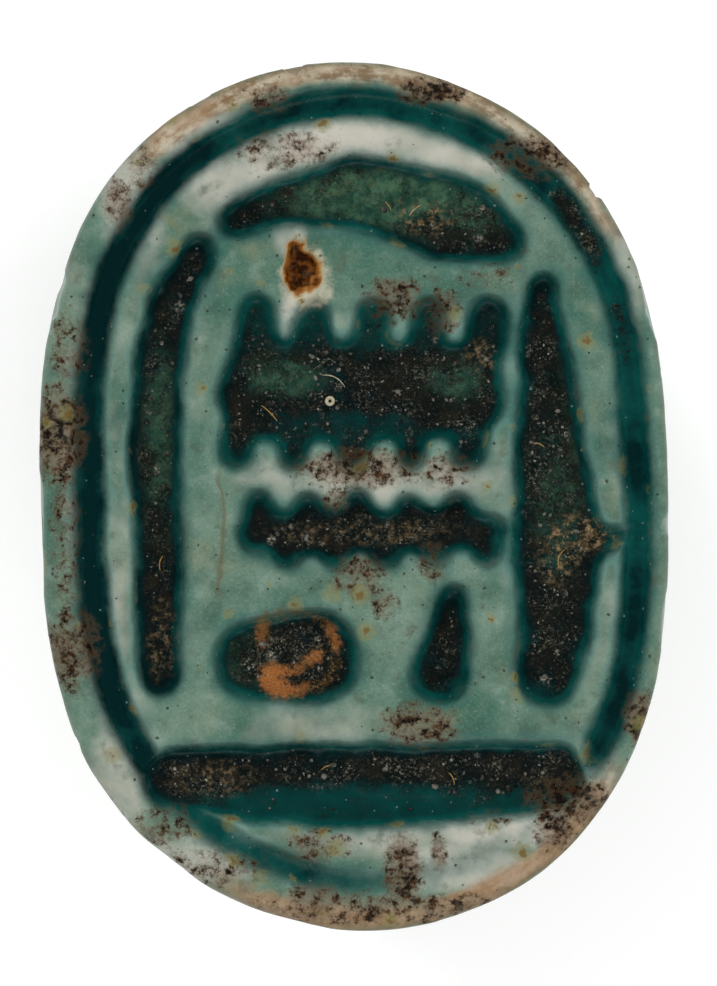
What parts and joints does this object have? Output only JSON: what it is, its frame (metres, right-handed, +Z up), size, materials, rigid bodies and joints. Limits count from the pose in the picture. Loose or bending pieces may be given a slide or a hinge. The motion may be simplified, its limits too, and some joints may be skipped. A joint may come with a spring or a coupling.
{
  "type": "scarab amulet",
  "caption": "Small oval scarab amulet of glazed soft stone: a carved beetle drilled from head to tail for a cord, with a flat seal face of sunk strokes inside a border line.",
  "frame": {"origin": "centre of the object's box on the surface that it lies on, under the crown of the wing cases", "axes": "+Z up out of the seal face, which lies on top; +Y towards the beetle's head; +X to the right, seen from above"},
  "size_m": [0.0122, 0.017, 0.0074],
  "materials": {
    "glazed_stone": "gloss"
  },
  "bodies": {
    "root": {"scarab": "glazed_stone"}
  },
  "joints": []
}
